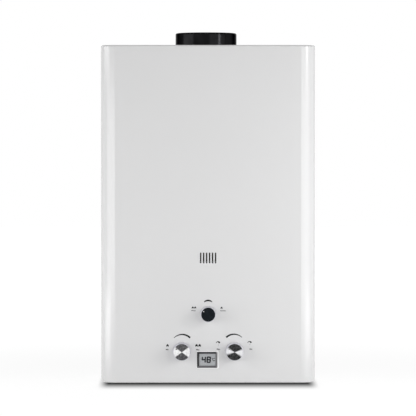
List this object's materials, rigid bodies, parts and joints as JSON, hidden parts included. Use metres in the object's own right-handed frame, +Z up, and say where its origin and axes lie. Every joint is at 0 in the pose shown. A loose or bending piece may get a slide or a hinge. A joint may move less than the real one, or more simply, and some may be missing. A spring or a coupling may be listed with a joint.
{
  "type": "tankless gas water heater",
  "caption": "Upright white box heater with rounded front edges, a round black flue collar on top, front control knobs and a small display window.",
  "frame": {"origin": "middle of the footprint, on the surface that the case stands on", "axes": "+Z up, the control front faces -Y, +X is to the right of someone facing it"},
  "size_m": [0.375, 0.2, 0.6136],
  "materials": {
    "white_case": "semi-gloss white powder coat",
    "galvanised": "galvanised sheet",
    "zinc_screw": "zinc plated, fine grain",
    "black_enamel": "gloss black enamel",
    "aluminised": "dull aluminised sheet",
    "copper": "plain copper, satin",
    "stainless": "pressed stainless, satin",
    "brass": "turned brass",
    "cast_alloy": "die cast, matt",
    "rubber": "matt black",
    "knob_silver": "silver with a lavender cast, gloss",
    "spun_disc": "spun, polished",
    "black_gloss": "gloss black",
    "bezel_dark": "dark grey, half gloss",
    "lcd_glass": "clear flat window",
    "board": "grey display with its board behind",
    "black_plastic": "moulded, fine grain",
    "grey_plastic": "moulded, matt",
    "ceramic": "glazed white",
    "cell_jacket": "printed cell jacket, plain"
  },
  "bodies": {
    "heater": {"front_cover": "white_case", "back_plate": "galvanised", "top_plate": "white_case", "bottom_plate": "galvanised", "screws": "zinc_screw", "flue_collar": "black_enamel", "draft_hood": "aluminised", "exchanger_shell": "copper", "exchanger_fins": "copper", "exchanger_tubes": "copper", "chamber_coil": "copper", "rear_brackets": "galvanised", "overheat_thermostat": "grey_plastic", "burner_frame": "stainless", "burner_bars": "stainless", "gas_manifold": "cast_alloy", "gas_nozzles": "brass", "season_valve_body": "cast_alloy", "gas_valve_body": "cast_alloy", "gas_valve_cap": "cast_alloy", "valve_return_spring": "stainless", "gas_feed_pipe": "copper", "gas_inlet_fitting": "brass", "water_valve_body": "brass", "water_valve_cover": "brass", "diaphragm": "rubber", "cold_water_pipe": "copper", "hot_water_pipe": "copper", "water_temperature_sensor": "grey_plastic", "cold_inlet_fitting": "brass", "hot_outlet_fitting": "brass", "pipe_nuts": "brass", "microswitch": "black_plastic", "microswitch_bracket": "galvanised", "igniter_box": "black_plastic", "ignition_lead": "rubber", "electrodes": "ceramic", "electrode_bracket": "galvanised", "battery_box": "black_plastic", "battery_cells": "cell_jacket", "battery_contacts": "stainless", "display_bezel": "bezel_dark", "display_glass": "lcd_glass", "display_board": "board", "display_housing": "black_plastic", "spindle_bonnets": "galvanised"},
    "gas_control": {"gas_knob": "knob_silver", "gas_knob_disc": "spun_disc", "gas_spindle": "brass"},
    "water_control": {"water_knob": "knob_silver", "water_knob_disc": "spun_disc", "water_spindle": "brass"},
    "season_control": {"season_knob": "knob_silver", "season_knob_cap": "black_gloss", "season_spindle": "brass"},
    "battery_hatch": {"battery_door": "black_plastic"},
    "push_rod_set": {"push_rod": "stainless", "gas_poppet": "rubber"},
    "switch_lever": {"microswitch_lever": "stainless"},
    "drain": {"drain_plug": "black_plastic"}
  },
  "joints": [
    {"name": "gas_knob_turn", "type": "hinge", "parent": "heater", "child": "gas_control", "pos_m": [-0.046, -0.076, 0.0552], "axis": [0, 1, 0], "range_deg": [0, 130]},
    {"name": "water_knob_turn", "type": "hinge", "parent": "heater", "child": "water_control", "pos_m": [0.046, -0.076, 0.0552], "axis": [0, 1, 0], "range_deg": [0, 130]},
    {"name": "season_knob_turn", "type": "hinge", "parent": "heater", "child": "season_control", "pos_m": [0, -0.076, 0.1206], "axis": [0, 1, 0], "range_deg": [0, 110]},
    {"name": "battery_door_swing", "type": "hinge", "parent": "heater", "child": "battery_hatch", "pos_m": [0.1347, 0.055, 0.0182], "axis": [1, 0, 0], "range_deg": [0, 90]},
    {"name": "push_rod_slide", "type": "slide", "parent": "heater", "child": "push_rod_set", "axis": [-1, 0, 0], "range_m": [0, 0.004], "stiffness_N_per_m": 500, "springref_m": -0.003, "deforming": ["valve_return_spring"]},
    {"name": "switch_lever_tip", "type": "hinge", "parent": "heater", "child": "switch_lever", "pos_m": [-0.00365, -0.012, 0.0712], "axis": [0, 1, 0], "range_deg": [0, 21]},
    {"name": "drain_plug_turn", "type": "hinge", "parent": "heater", "child": "drain", "pos_m": [0.04, -0.012, 0.0137], "axis": [0, 0, -1], "range_deg": [0, 360]}
  ],
  "couplings": [
    {"joint": "switch_lever_tip", "follows": "push_rod_slide", "rad_per_m": 91}
  ]
}
